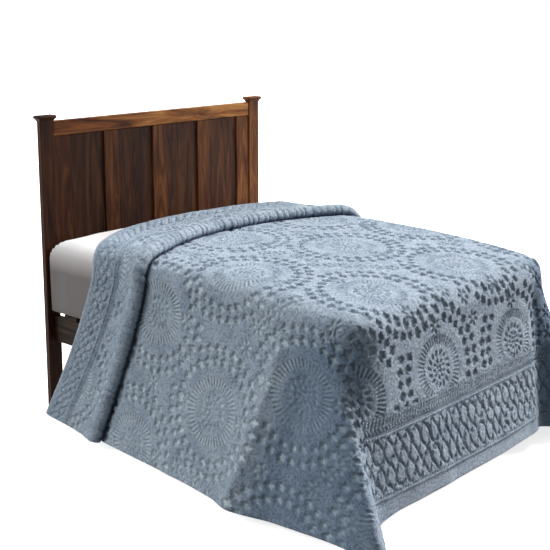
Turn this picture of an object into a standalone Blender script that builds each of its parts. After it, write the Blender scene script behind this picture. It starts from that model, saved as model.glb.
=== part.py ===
"""A tufted bedspread draped over a double bed with a panelled wooden headboard.

Metres, +Z up.  X runs across the bed, the foot end points along -Y, and the
headboard's front face is the plane Y = 0.  Posts and legs stand on Z = 0.  Each
piece is moved by -ORIGIN when it is placed.
"""
import math

import bmesh
import bpy
import numpy as np

# mattress
MATTRESS_HALF_WIDTH = 0.685
MATTRESS_HEAD_Y = -0.012
MATTRESS_FOOT_Y = -1.760
MATTRESS_BOTTOM_Z = 0.4896
MATTRESS_TOP_Z = 0.832
CORNER_RADIUS = 0.160
EDGE_RADIUS = 0.070
FOOT_DROOP = 0.056          # how far the soft top sinks at the foot edge
DROOP_START_Y = -0.85
BOTTOM_ROLL = 0.030         # how far in and up the bottom edges are rolled
SIDE_CROWN = 0.010          # how far the top sinks at its long edges

# bedspread
CLOTH_THICKNESS = 0.005
SIDE_OFFSET = 0.0047        # from the mattress side to the middle of the cloth
TOP_OFFSET = 0.0031         # from the mattress top, on which it lies
FLARE_POWER = 1.25          # how late the skirt swings out on its way down
SKIRT_ROWS = 13
SKIRT_WAVE = 0.004          # how far the hanging cloth waves in and out
WAVE_ALONG = 9              # radians of that wave in each metre along the bed
WAVE_ACROSS = 7

# how the cloth and the mattress are cut into faces
EDGE_CUTS = 4
CORNER_CUTS = (0.64, 0.82, 1.0)     # shares of CORNER_RADIUS
LINES_ACROSS = 11
LINE_SPACING = 0.088

# headboard
POST_OUTER_WIDTH = 1.400
POST_WIDTH = 0.072
POST_DEPTH = 0.028
POST_TOP_Z = 1.3727
CAP_OVERHANG = 0.010
CAP_THICKNESS = 0.012
RAIL_DEPTH = 0.021
RAIL_SETBACK = 0.004
TOP_RAIL_Z = (1.290, 1.358)
LOW_RAIL_Z = (0.600, 0.680)
OUTER_STILE_INNER_X = 0.539
INNER_STILE_X = (0.257, 0.341)
MIDDLE_STILE_HALF_WIDTH = 0.042
STILE_SETBACK = 0.006
STILE_DEPTH = 0.018
PANEL_SETBACK = 0.014
PANEL_DEPTH = 0.006

# bed frame
SIDE_RAIL_OUTER_X = 0.665
SIDE_RAIL_THICKNESS = 0.025
SIDE_RAIL_Z = (0.350, 0.470)
FRAME_FOOT_Y = -1.745
LEG_WIDTH = 0.060
SLAT_WIDTH = 0.090
SLAT_THICKNESS = 0.019
SLAT_COUNT = 6
FIRST_SLAT_Y = -0.120
LAST_SLAT_FROM_FOOT = 0.100

# the record's origin: the middle of the whole's box, on the floor
ORIGIN = (-0.0015, -0.9704, 0.0)

FIT_GAP = 0.0003
WOOD_BEVEL = 0.0025
PANEL_BEVEL = 0.001
SLAT_BEVEL = 0.0015
CAP_BEVEL = 0.006

# the hem of the skirt: the place on the bed's rim it hangs from, then where it ends.
# The left and right tables run along the bed (rim = y), the foot table across (rim = x).
LEFT_HEM = (
    # rim_y, hem_x, hem_y, hem_z
    (-0.320, -0.738, 0.002, 0.030),
    (-0.410, -0.748, -0.110, 0.030),
    (-0.550, -0.766, -0.305, 0.030),
    (-0.695, -0.790, -0.500, 0.030),
    (-0.860, -0.812, -0.690, 0.034),
    (-1.030, -0.836, -0.900, 0.040),
    (-1.190, -0.862, -1.100, 0.044),
    (-1.320, -0.892, -1.255, 0.046),
    (-1.410, -0.914, -1.365, 0.044),
    (-1.490, -0.884, -1.500, 0.040),
    (-1.555, -0.854, -1.640, 0.036),
    (-1.610, -0.834, -1.780, 0.033),
    (-1.655, -0.828, -1.890, 0.030),
    (-1.690, -0.802, -1.976, 0.028),
    (-1.720, -0.748, -1.940, 0.038),
    (-1.7647, -0.704, -1.893, 0.050),
)
FOOT_HEM = (
    # rim_x, hem_x, hem_y, hem_z
    (-0.6897, -0.704, -1.893, 0.050),
    (-0.630, -0.648, -1.864, 0.062),
    (-0.560, -0.578, -1.858, 0.071),
    (-0.400, -0.415, -1.868, 0.080),
    (-0.100, -0.105, -1.878, 0.088),
    (0.200, 0.215, -1.872, 0.086),
    (0.400, 0.435, -1.850, 0.078),
    (0.500, 0.540, -1.828, 0.066),
    (0.580, 0.612, -1.842, 0.052),
    (0.650, 0.725, -1.940, 0.036),
    (0.6897, 0.822, -1.972, 0.028),
)
RIGHT_HEM = (
    # rim_y, hem_x, hem_y, hem_z
    (-0.245, 0.742, -0.010, 0.030),
    (-0.300, 0.748, -0.070, 0.030),
    (-0.520, 0.766, -0.290, 0.030),
    (-0.740, 0.790, -0.520, 0.030),
    (-0.920, 0.812, -0.720, 0.032),
    (-1.060, 0.858, -0.890, 0.042),
    (-1.190, 0.838, -1.070, 0.044),
    (-1.330, 0.868, -1.260, 0.045),
    (-1.440, 0.908, -1.400, 0.042),
    (-1.540, 0.880, -1.540, 0.038),
    (-1.620, 0.858, -1.680, 0.034),
    (-1.690, 0.862, -1.800, 0.031),
    (-1.740, 0.862, -1.895, 0.029),
    (-1.7647, 0.822, -1.972, 0.028),
)

# where the turned-back cuff's three lines cross the bed's top, from its left edge (-1)
# to its right (1): the hidden tuck, the puffy fold facing the foot, and the head hem
CUFF_LINES = (
    # across, tuck_y, fold_y, head_y
    (-1.00, -0.400, -0.655, -0.345),
    (-0.85, -0.325, -0.620, -0.270),
    (-0.65, -0.245, -0.562, -0.190),
    (-0.20, -0.170, -0.492, -0.115),
    (0.20, -0.165, -0.496, -0.110),
    (0.60, -0.200, -0.552, -0.145),
    (1.00, -0.270, -0.660, -0.215),
)

# the Z of the cuff, walked from the tuck to the head hem.  `share` is the way from the
# tuck's line (0) to the fold's line (1); `past` adds metres to it; `lift` is how far the
# layer's middle stands off the skirt below.
CUFF_PATH = (
    # share, past, lift
    (0.00, 0.0035, 0.0012),
    (0.00, 0.0050, 0.0045),
    (0.00, 0.0035, 0.0078),
    (0.03, 0.0000, 0.0090),
    (0.25, 0.0000, 0.0092),
    (0.50, 0.0000, 0.0092),
    (0.75, 0.0000, 0.0094),
    (0.90, 0.0000, 0.0100),
    (0.97, 0.0000, 0.0110),
    (1.00, -0.0060, 0.0140),
    (1.00, -0.0190, 0.0210),
    (1.00, -0.0250, 0.0310),
    (1.00, -0.0190, 0.0415),
    (1.00, -0.0040, 0.0480),
    (0.96, 0.0000, 0.0475),
    (0.89, 0.0000, 0.0410),
    (0.77, 0.0000, 0.0320),
    (0.58, 0.0000, 0.0250),
    (0.38, 0.0000, 0.0210),
    (0.20, 0.0000, 0.0190),
    (0.05, 0.0000, 0.0180),
)
CUFF_END_STEPS = ((0.45, 0.0170), (0.80, 0.0130), (1.00, 0.0105))   # tuck to head hem, lift

WOOD = ("walnut wood", (0.115, 0.045, 0.018), 0.45)
FRAME_WOOD = ("dark frame wood", (0.035, 0.022, 0.016), 0.60)
SHEET_WHITE = ("white sheet cotton", (0.82, 0.82, 0.83), 0.90)
CHENILLE = ("blue chenille", (0.235, 0.330, 0.430), 0.95)


def clear_scene():
    for item in list(bpy.data.objects):
        bpy.data.objects.remove(item, do_unlink=True)


def make_material(spec):
    name, colour, rough = spec
    found = bpy.data.materials.get(name)
    if found:
        return found
    mat = bpy.data.materials.new(name)
    mat.use_nodes = True
    shader = mat.node_tree.nodes["Principled BSDF"]
    shader.inputs["Base Color"].default_value = (*colour, 1.0)
    shader.inputs["Roughness"].default_value = rough
    return mat


def own_material(name, spec):
    return make_material((f"{spec[0]} {name}", spec[1], spec[2]))


def place(bm, name, spec, home):
    mesh = bpy.data.meshes.new(name)
    bmesh.ops.recalc_face_normals(bm, faces=bm.faces)
    bmesh.ops.translate(bm, vec=[-part for part in ORIGIN], verts=bm.verts)
    bm.to_mesh(mesh)
    bm.free()
    obj = bpy.data.objects.new(name, mesh)
    mesh.materials.append(own_material(name, spec))
    home.objects.link(obj)
    return obj


def block(name, low, high, spec, home, bevel=WOOD_BEVEL):
    """A bevelled board between two opposite corners."""
    low, high = np.array(low), np.array(high)
    bm = bmesh.new()
    bmesh.ops.create_cube(bm, size=1.0)
    bmesh.ops.scale(bm, vec=tuple(high - low), verts=bm.verts)
    bmesh.ops.translate(bm, vec=tuple((high + low) / 2), verts=bm.verts)
    bmesh.ops.bevel(bm, geom=bm.edges[:], offset=bevel, segments=1, affect="EDGES")
    return place(bm, name, spec, home)


def cap(name, centre_x, home):
    """A post cap: a thin board whose top edges are bevelled wide and low."""
    half_x = POST_WIDTH / 2 + CAP_OVERHANG
    y_low, y_high = -CAP_OVERHANG, POST_DEPTH + CAP_OVERHANG
    z_low = POST_TOP_Z + FIT_GAP
    bm = bmesh.new()
    bmesh.ops.create_cube(bm, size=1.0)
    bmesh.ops.scale(bm, vec=(2 * half_x, y_high - y_low, CAP_THICKNESS), verts=bm.verts)
    middle = (centre_x, (y_low + y_high) / 2, z_low + CAP_THICKNESS / 2)
    bmesh.ops.translate(bm, vec=middle, verts=bm.verts)
    top = max(vert.co.z for vert in bm.verts) - 1e-4
    rim = [e for e in bm.edges if all(vert.co.z > top for vert in e.verts)]
    bmesh.ops.bevel(bm, geom=rim, offset=CAP_BEVEL, segments=2, affect="EDGES")
    return place(bm, name, WOOD, home)


def headboard(home):
    outer = POST_OUTER_WIDTH / 2
    inner = outer - POST_WIDTH
    for side, name in ((-1, "left"), (1, "right")):
        x_a, x_b = sorted((side * outer, side * inner))
        block(f"post_{name}", (x_a, 0, 0), (x_b, POST_DEPTH, POST_TOP_Z), WOOD, home)
        cap(f"cap_{name}", side * (outer - POST_WIDTH / 2), home)
    reach = inner - FIT_GAP
    for name, (z_a, z_b) in (("top_rail", TOP_RAIL_Z), ("low_rail", LOW_RAIL_Z)):
        low = (-reach, RAIL_SETBACK, z_a)
        block(name, low, (reach, RAIL_SETBACK + RAIL_DEPTH, z_b), WOOD, home)
    z_a, z_b = LOW_RAIL_Z[1] + FIT_GAP, TOP_RAIL_Z[0] - FIT_GAP
    outer_in, middle = OUTER_STILE_INNER_X, MIDDLE_STILE_HALF_WIDTH
    near, far = INNER_STILE_X
    stiles = ((-reach, -outer_in), (-far, -near), (-middle, middle), (near, far), (outer_in, reach))
    for number, (x_a, x_b) in enumerate(stiles, 1):
        low = (x_a, STILE_SETBACK, z_a)
        block(f"stile_{number}", low, (x_b, STILE_SETBACK + STILE_DEPTH, z_b), WOOD, home)
    for number in range(len(stiles) - 1):
        x_a = stiles[number][1] + FIT_GAP
        x_b = stiles[number + 1][0] - FIT_GAP
        low = (x_a, PANEL_SETBACK, z_a)
        high = (x_b, PANEL_SETBACK + PANEL_DEPTH, z_b)
        block(f"panel_{number + 1}", low, high, WOOD, home, bevel=PANEL_BEVEL)


def bed_frame(home):
    rail_in = SIDE_RAIL_OUTER_X - SIDE_RAIL_THICKNESS
    z_a, z_b = SIDE_RAIL_Z
    for side, name in ((-1, "left"), (1, "right")):
        x_a, x_b = sorted((side * rail_in, side * SIDE_RAIL_OUTER_X))
        block(f"side_rail_{name}", (x_a, FRAME_FOOT_Y, z_a), (x_b, -FIT_GAP, z_b), FRAME_WOOD, home)
        leg_a, leg_b = sorted((side * SIDE_RAIL_OUTER_X, side * (SIDE_RAIL_OUTER_X - LEG_WIDTH)))
        block(f"leg_{name}", (leg_a, FRAME_FOOT_Y, 0), (leg_b, FRAME_FOOT_Y + LEG_WIDTH, z_a - FIT_GAP),
              FRAME_WOOD, home)
    reach = rail_in - FIT_GAP
    block("foot_rail", (-reach, FRAME_FOOT_Y, z_a), (reach, FRAME_FOOT_Y + SIDE_RAIL_THICKNESS, z_b),
          FRAME_WOOD, home)
    slat_ys = np.linspace(FIRST_SLAT_Y, FRAME_FOOT_Y + LAST_SLAT_FROM_FOOT, SLAT_COUNT)
    for number, y in enumerate(slat_ys, 1):
        low = (-SIDE_RAIL_OUTER_X, y - SLAT_WIDTH / 2, z_b + FIT_GAP)
        high = (SIDE_RAIL_OUTER_X, y + SLAT_WIDTH / 2, z_b + FIT_GAP + SLAT_THICKNESS)
        block(f"slat_{number}", low, high, FRAME_WOOD, home, bevel=SLAT_BEVEL)


def rounded_steps(radius, count):
    """Distances in from an edge at which a quarter circle of this radius is cut."""
    return [radius * (1 - math.cos(math.pi / 2 * n / count)) for n in range(count + 1)]


def lattice_lines(side_offset, head_y, head_round):
    """X and Y lines for the bed's top: close together at its rolled edges."""
    half = MATTRESS_HALF_WIDTH + side_offset
    foot_y = MATTRESS_FOOT_Y - side_offset
    edge = rounded_steps(EDGE_RADIUS + side_offset, EDGE_CUTS)
    corner = [CORNER_RADIUS * share for share in CORNER_CUTS]
    inner = [half - step for step in edge + corner]
    middle = np.linspace(-inner[-1], inner[-1], LINES_ACROSS)[1:-1]
    xs = sorted([-x for x in inner] + list(middle) + inner)
    foot = [foot_y + step for step in edge + corner]
    head = [head_y - step for step in edge] if head_round else [head_y]
    count = round((min(head) - foot[-1]) / LINE_SPACING)
    between = np.linspace(foot[-1], min(head), count + 1)[1:-1]
    return xs, sorted(foot + list(between) + head)


def bed_surface(x, y, side_offset, top_offset, head_round=False):
    """Where a point of the flat plan lies on the rolled, drooping top of the bed."""
    half = MATTRESS_HALF_WIDTH + side_offset
    foot = MATTRESS_FOOT_Y - side_offset
    radius = EDGE_RADIUS + side_offset
    inset = min(half - abs(x), y - foot)
    if head_round:
        inset = min(inset, MATTRESS_HEAD_Y - y)
    from_centre = radius - min(max(inset, 0), radius)
    roll = radius - math.sqrt(radius ** 2 - from_centre ** 2)
    sink = min(max((DROOP_START_Y - y) / (DROOP_START_Y - MATTRESS_FOOT_Y), 0), 1)
    top = MATTRESS_TOP_Z + top_offset - FOOT_DROOP * sink ** 2 - SIDE_CROWN * (abs(x) / half) ** 4
    corner_x, corner_y = half - CORNER_RADIUS, foot + CORNER_RADIUS
    p = (abs(x) - corner_x) / CORNER_RADIUS
    q = (corner_y - y) / CORNER_RADIUS
    out_x, out_y = x, y
    if p > 0 and q > 0:
        out_x = math.copysign(corner_x + CORNER_RADIUS * p * math.sqrt(1 - q * q / 2), x)
        out_y = corner_y - CORNER_RADIUS * q * math.sqrt(1 - p * p / 2)
    return np.array((out_x, out_y, top - roll))


def mattress(home):
    """A box cut into a lattice, then pressed to the bed's rounded, soft-topped shape."""
    half, low, high = MATTRESS_HALF_WIDTH, MATTRESS_FOOT_Y, MATTRESS_HEAD_Y
    xs, ys = lattice_lines(0.0, high, True)
    mid_z = (MATTRESS_BOTTOM_Z + MATTRESS_TOP_Z) / 2
    bm = bmesh.new()
    bmesh.ops.create_cube(bm, size=1.0)
    size = (2 * half, high - low, MATTRESS_TOP_Z - MATTRESS_BOTTOM_Z)
    bmesh.ops.scale(bm, vec=size, verts=bm.verts)
    bmesh.ops.translate(bm, vec=(0, (low + high) / 2, mid_z), verts=bm.verts)
    cuts = [((x, 0, 0), (1, 0, 0)) for x in xs[1:-1]] + [((0, y, 0), (0, 1, 0)) for y in ys[1:-1]]
    for point, normal in cuts:
        bmesh.ops.bisect_plane(bm, geom=bm.verts[:] + bm.edges[:] + bm.faces[:], dist=1e-6,
                               plane_co=point, plane_no=normal)
    for vert in bm.verts:
        x, y, z = vert.co
        pressed = bed_surface(x, y, 0.0, 0.0, head_round=True)
        inset = min(half - abs(x), y - low, high - y)
        if z < mid_z:
            short = max(1 - inset / BOTTOM_ROLL, 0)
            pressed[2] = MATTRESS_BOTTOM_Z + BOTTOM_ROLL * short ** 2
        vert.co = pressed
    return place(bm, "mattress", SHEET_WHITE, home)


def hem_at(table, rim):
    """The hem point for a place on the rim: a smooth curve through the table's rows."""
    rows = np.array(sorted(table))
    if rim <= rows[0, 0]:
        return rows[0, 1:]
    if rim >= rows[-1, 0]:
        return rows[-1, 1:]
    slope = np.gradient(rows[:, 1:], rows[:, 0], axis=0)
    at = int(np.searchsorted(rows[:, 0], rim)) - 1
    span = rows[at + 1, 0] - rows[at, 0]
    t = (rim - rows[at, 0]) / span
    start, end = rows[at, 1:], rows[at + 1, 1:]
    bend = (t ** 3 - 2 * t ** 2 + t) * slope[at] + (t ** 3 - t ** 2) * slope[at + 1]
    return (2 * t ** 3 - 3 * t ** 2 + 1) * start + (3 * t ** 2 - 2 * t ** 3) * end + span * bend


def skirt_point(rim_point, hem, down):
    """A point of the hanging skirt, `down` of the way from the bed's rim to the hem."""
    swing = down ** FLARE_POWER
    x, y = rim_point[:2] + (hem[:2] - rim_point[:2]) * swing
    wave = SKIRT_WAVE * math.sin(math.pi * down) * math.sin(WAVE_ALONG * y + WAVE_ACROSS * x)
    z = rim_point[2] + (hem[2] - rim_point[2]) * down
    return np.array((x + math.copysign(wave, x), y, z))


def cuff_line(xs, column):
    """One of the cuff's lines, as a y for each of the bed top's X lines."""
    table = np.array(CUFF_LINES)
    across = np.array(xs) / max(xs)
    slope = np.gradient(table[:, column], table[:, 0])
    at = np.clip(np.searchsorted(table[:, 0], across) - 1, 0, len(table) - 2)
    span = table[at + 1, 0] - table[at, 0]
    t = (across - table[at, 0]) / span
    straight = (2 * t ** 3 - 3 * t ** 2 + 1) * table[at, column]
    straight = straight + (3 * t ** 2 - 2 * t ** 3) * table[at + 1, column]
    return straight + span * ((t ** 3 - 2 * t ** 2 + t) * slope[at] + (t ** 3 - t ** 2) * slope[at + 1])


def cross_row(line, xs):
    """One row of the cloth from the left hem, over the bed's top, to the right hem."""
    tops = [bed_surface(x, y, SIDE_OFFSET, TOP_OFFSET) for x, y in zip(xs, line)]
    downs = [(n + 1) / SKIRT_ROWS for n in range(SKIRT_ROWS)]
    left = [skirt_point(tops[0], hem_at(LEFT_HEM, line[0]), down) for down in reversed(downs)]
    right = [skirt_point(tops[-1], hem_at(RIGHT_HEM, line[-1]), down) for down in downs]
    return np.array(left + tops + right)


def lifted(row, lift):
    """The same row moved off the layer below, along the row's own outward normal."""
    along = np.gradient(row[:, [0, 2]], axis=0)
    normal = np.stack((-along[:, 1], along[:, 0]), axis=1)
    normal /= np.linalg.norm(normal, axis=1, keepdims=True)
    out = row.copy()
    out[:, [0, 2]] += normal * lift
    return out


def main_rows(xs, ys):
    """The layer that lies on the bed, its rows bent little by little to the tuck's line."""
    straight = MATTRESS_FOOT_Y + 2 * CORNER_RADIUS
    tuck = cuff_line(xs, 1)
    rows = []
    for y in ys:
        share = max((y - straight) / (ys[-1] - straight), 0)
        line = np.full(len(xs), y) if share == 0 else straight + (tuck - straight) * share
        rows.append(cross_row(line, xs))
    return rows


def cuff_rows(xs):
    tuck, fold, head = (cuff_line(xs, column) for column in (1, 2, 3))
    rows = []
    for share, past, lift in CUFF_PATH:
        row = lifted(cross_row(tuck + (fold - tuck) * share, xs), lift)
        row[:, 1] += past
        rows.append(row)
    for share, lift in CUFF_END_STEPS:
        rows.append(lifted(cross_row(tuck + (head - tuck) * share, xs), lift))
    return rows


def bedspread(home):
    """One sheet of quads: bed top, both side skirts and cuff, then the foot skirt."""
    xs, ys = lattice_lines(SIDE_OFFSET, max(row[1] for row in CUFF_LINES), False)
    rows = main_rows(xs, ys) + cuff_rows(xs)
    bm = bmesh.new()
    grid = [[bm.verts.new(point) for point in row] for row in rows]
    for lower, upper in zip(grid, grid[1:]):
        for n in range(len(lower) - 1):
            bm.faces.new((lower[n], lower[n + 1], upper[n + 1], upper[n]))
    above = [grid[0][SKIRT_ROWS + n] for n in range(len(xs))]
    for step in range(SKIRT_ROWS):
        down = (step + 1) / SKIRT_ROWS
        below = [grid[0][SKIRT_ROWS - 1 - step]]
        for x in xs[1:-1]:
            rim = bed_surface(x, ys[0], SIDE_OFFSET, TOP_OFFSET)
            below.append(bm.verts.new(skirt_point(rim, hem_at(FOOT_HEM, x), down)))
        below.append(grid[0][SKIRT_ROWS + len(xs) + step])
        for n in range(len(xs) - 1):
            bm.faces.new((above[n], below[n], below[n + 1], above[n + 1]))
        above = below
    obj = place(bm, "bedspread", CHENILLE, home)
    thick = obj.modifiers.new("cloth thickness", "SOLIDIFY")
    thick.thickness = CLOTH_THICKNESS
    thick.offset = 0.0
    thick.use_even_offset = True
    return obj


def main():
    clear_scene()
    home = bpy.data.collections.new("bedspread_on_a_bed")
    bpy.context.scene.collection.children.link(home)
    headboard(home)
    bed_frame(home)
    mattress(home)
    bedspread(home)


main()
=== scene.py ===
import math

import bmesh
import bpy
import numpy as np
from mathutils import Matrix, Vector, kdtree


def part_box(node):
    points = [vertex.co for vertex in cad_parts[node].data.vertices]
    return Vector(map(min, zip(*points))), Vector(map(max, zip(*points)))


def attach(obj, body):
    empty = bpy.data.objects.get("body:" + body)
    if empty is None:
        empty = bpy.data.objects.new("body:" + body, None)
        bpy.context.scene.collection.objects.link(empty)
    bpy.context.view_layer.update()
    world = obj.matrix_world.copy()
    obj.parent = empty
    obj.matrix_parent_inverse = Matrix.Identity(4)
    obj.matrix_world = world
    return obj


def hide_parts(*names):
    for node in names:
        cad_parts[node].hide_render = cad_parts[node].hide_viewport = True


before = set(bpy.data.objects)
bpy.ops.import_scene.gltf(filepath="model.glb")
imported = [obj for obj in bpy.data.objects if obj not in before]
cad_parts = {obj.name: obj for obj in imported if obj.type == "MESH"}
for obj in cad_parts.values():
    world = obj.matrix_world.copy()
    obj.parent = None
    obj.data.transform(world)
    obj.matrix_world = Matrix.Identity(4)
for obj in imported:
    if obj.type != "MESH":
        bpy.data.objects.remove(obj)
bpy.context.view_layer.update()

# The bed is laid out in its own measures: x across, y = 0 at the headboard's face with
# the foot towards -y, z = 0 on the floor. bedToFrame moves it to where the solids stand.
bedToFrame = np.array((0.0015, 0.9704, 0.0))

bed = {
    "halfWidth": 0.685,
    "headY": -0.012,
    "footY": -1.760,
    "bottomZ": 0.4896,
    "topZ": 0.832,
    "cornerRadius": 0.160,      # seen from above
    "edgeRadius": 0.070,        # along the top's edge
    "footDroop": 0.056,         # how far the top sinks towards the foot
    "droopStartY": -0.85,
    "sideCrown": 0.010,
}

cloth = {
    "thickness": 0.005,
    "sideOffset": 0.0047,
    "topOffset": 0.0031,
    "cornerFade": 3,            # steps over which the pattern dies out at the foot corners
    "dropLength": 0.70,         # from the bed's edge to the hem, to space the skirt's points by
    "flarePower": 1.25,         # above 1 the skirt hangs steeper at the top than at the hem
    "skirtWave": 0.004,
    "hangsStraight": (-1.48, -1.54),   # where the left and the right skirt hang without a slant
    "backingStep": 0.021,       # how close the backing cloth's points stand
    "pileStep": 0.0043,         # and those of the tufted face
    "pileHeight": 0.0098,
    "rippleOnSkirt": 0.0045,
    "rippleOnTop": 0.0022,
    "gathers": {"crestAt": 0.060, "reach": 0.045, "pitch": 0.036, "depth": 0.85},
    "hiddenTurnIn": 0.065,      # how far the tufted face goes on under the cuff
}

# where the skirt's hem ends for each place on the bed's rim
leftHem = np.array((
    # rimY, hemX, hemY, hemZ
    (-0.320, -0.738, 0.002, 0.030),
    (-0.410, -0.748, -0.110, 0.030),
    (-0.550, -0.766, -0.305, 0.030),
    (-0.695, -0.790, -0.500, 0.030),
    (-0.860, -0.812, -0.690, 0.034),
    (-1.030, -0.836, -0.900, 0.040),
    (-1.190, -0.862, -1.100, 0.044),
    (-1.320, -0.892, -1.255, 0.046),
    (-1.410, -0.914, -1.365, 0.044),
    (-1.490, -0.884, -1.500, 0.040),
    (-1.555, -0.854, -1.640, 0.036),
    (-1.610, -0.834, -1.780, 0.033),
    (-1.655, -0.828, -1.890, 0.030),
    (-1.690, -0.802, -1.976, 0.028),
    (-1.720, -0.748, -1.940, 0.038),
    (-1.7647, -0.704, -1.893, 0.050),
))
footHem = np.array((
    # rimX, hemX, hemY, hemZ
    (-0.6897, -0.704, -1.893, 0.050),
    (-0.630, -0.648, -1.864, 0.062),
    (-0.560, -0.578, -1.858, 0.071),
    (-0.400, -0.415, -1.868, 0.080),
    (-0.100, -0.105, -1.878, 0.088),
    (0.200, 0.215, -1.872, 0.086),
    (0.400, 0.435, -1.850, 0.078),
    (0.500, 0.540, -1.828, 0.066),
    (0.580, 0.612, -1.842, 0.052),
    (0.650, 0.725, -1.940, 0.036),
    (0.6897, 0.822, -1.972, 0.028),
))
rightHem = np.array((
    # rimY, hemX, hemY, hemZ
    (-0.245, 0.742, -0.010, 0.030),
    (-0.300, 0.748, -0.070, 0.030),
    (-0.520, 0.766, -0.290, 0.030),
    (-0.740, 0.790, -0.520, 0.030),
    (-0.920, 0.812, -0.720, 0.032),
    (-1.060, 0.858, -0.890, 0.042),
    (-1.190, 0.838, -1.070, 0.044),
    (-1.330, 0.868, -1.260, 0.045),
    (-1.440, 0.908, -1.400, 0.042),
    (-1.540, 0.880, -1.540, 0.038),
    (-1.620, 0.858, -1.680, 0.034),
    (-1.690, 0.862, -1.800, 0.031),
    (-1.740, 0.862, -1.895, 0.029),
    (-1.7647, 0.822, -1.972, 0.028),
))

# the turned-back cuff: where its hidden tuck, its puffy fold and its head hem cross the bed
cuffLines = np.array((
    # across, tuckY, foldY, headY
    (-1.00, -0.400, -0.655, -0.345),
    (-0.85, -0.325, -0.620, -0.270),
    (-0.65, -0.245, -0.562, -0.190),
    (-0.20, -0.170, -0.492, -0.115),
    (0.20, -0.165, -0.496, -0.110),
    (0.60, -0.200, -0.552, -0.145),
    (1.00, -0.270, -0.660, -0.215),
))
# the cuff's Z, walked from the tuck to the head hem
cuffPath = np.array((
    # toFold, toHead, past, lift
    (0.00, 0.00, 0.0035, 0.0012),
    (0.00, 0.00, 0.0050, 0.0045),
    (0.00, 0.00, 0.0035, 0.0078),
    (0.03, 0.00, 0.0000, 0.0090),
    (0.25, 0.00, 0.0000, 0.0092),
    (0.50, 0.00, 0.0000, 0.0092),
    (0.75, 0.00, 0.0000, 0.0094),
    (0.90, 0.00, 0.0000, 0.0100),
    (0.97, 0.00, 0.0000, 0.0110),
    (1.00, 0.00, -0.0060, 0.0140),
    (1.00, 0.00, -0.0190, 0.0210),
    (1.00, 0.00, -0.0250, 0.0310),
    (1.00, 0.00, -0.0190, 0.0415),
    (1.00, 0.00, -0.0040, 0.0480),
    (0.96, 0.00, 0.0000, 0.0475),
    (0.89, 0.00, 0.0000, 0.0410),
    (0.77, 0.00, 0.0000, 0.0320),
    (0.58, 0.00, 0.0000, 0.0250),
    (0.38, 0.00, 0.0000, 0.0210),
    (0.20, 0.00, 0.0000, 0.0190),
    (0.05, 0.00, 0.0000, 0.0180),
    (0.00, 0.45, 0.0000, 0.0170),
    (0.00, 0.80, 0.0000, 0.0130),
    (0.00, 1.00, 0.0000, 0.0105),
))
visibleFrom = 8                 # the cuffPath row where the tufted face comes into view
usualCuffLength = 0.33          # metres from tuck to fold, to space the cuff's rows by
usualHemReach = 0.055           # and from the tuck on to the head hem


def grow(value, start, end):
    # 0 up to start, 1 from end on, straight between them
    return np.clip((value - start) / (end - start), 0, 1)


# the surface of the dressed bed

def bedSurface(x, y, sideOffset, topOffset, headRound=False):
    half = bed["halfWidth"] + sideOffset
    foot = bed["footY"] - sideOffset
    radius = bed["edgeRadius"] + sideOffset
    inset = np.minimum(half - np.abs(x), y - foot)
    if headRound:
        inset = np.minimum(inset, bed["headY"] - y)
    fromCentre = radius - np.clip(inset, 0, radius)
    roll = radius - np.sqrt(np.maximum(radius ** 2 - fromCentre ** 2, 0))
    sink = grow(y, bed["droopStartY"], bed["footY"])
    crown = bed["sideCrown"] * (np.abs(x) / half) ** 4
    top = bed["topZ"] + topOffset - bed["footDroop"] * sink ** 2 - crown
    corner = bed["cornerRadius"]
    p = np.clip((np.abs(x) - half + corner) / corner, 0, 1)
    q = np.clip((foot + corner - y) / corner, 0, 1)
    inCorner = (p > 0) & (q > 0)
    roundX = np.sign(x) * (half - corner + corner * p * np.sqrt(1 - q * q / 2))
    roundY = foot + corner - corner * q * np.sqrt(1 - p * p / 2)
    return np.stack((np.where(inCorner, roundX, x), np.where(inCorner, roundY, y), top - roll), axis=-1)


def alongTable(table, at):
    # a smooth curve through a table's rows, read at one or many places of its first column
    rows = table[np.argsort(table[:, 0])]
    key, value = rows[:, 0], rows[:, 1:]
    at = np.clip(np.atleast_1d(np.asarray(at, float)), key[0], key[-1])
    slope = np.gradient(value, key, axis=0)
    n = np.clip(np.searchsorted(key, at) - 1, 0, len(key) - 2)
    span = (key[n + 1] - key[n])[:, None]
    t = (at - key[n])[:, None] / span
    ends = (2 * t ** 3 - 3 * t ** 2 + 1) * value[n] + (3 * t ** 2 - 2 * t ** 3) * value[n + 1]
    bend = (t ** 3 - 2 * t ** 2 + t) * slope[n] + (t ** 3 - t ** 2) * slope[n + 1]
    return ends + span * bend


rollRadius = bed["edgeRadius"] + cloth["sideOffset"]
flatHalf = bed["halfWidth"] + cloth["sideOffset"] - rollRadius
rimU = flatHalf + rollRadius * math.pi / 2
flatFoot = -bed["footY"] + cloth["sideOffset"] - rollRadius
rimV = flatFoot + rollRadius * math.pi / 2


def xFromU(u):
    past = np.clip(np.abs(u) - flatHalf, 0, None) / rollRadius
    return np.sign(u) * (np.minimum(np.abs(u), flatHalf) + rollRadius * np.sin(past))


def yFromV(v):
    past = np.clip(v - flatFoot, 0, None) / rollRadius
    return -(np.minimum(v, flatFoot) + rollRadius * np.sin(past))


def skirtRow(rim, hem, downs):
    # the points under one place of the rim, from just below it to the hem
    down = np.asarray(downs)[:, None]
    flat = rim[:2] + (hem[:2] - rim[:2]) * down ** cloth["flarePower"]
    wave = cloth["skirtWave"] * np.sin(np.pi * down[:, 0]) * np.sin(9 * flat[:, 1] + 7 * flat[:, 0])
    z = rim[2] + (hem[2] - rim[2]) * down[:, 0]
    return np.stack((flat[:, 0] + np.copysign(wave, flat[:, 0]), flat[:, 1], z), axis=1)


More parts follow.
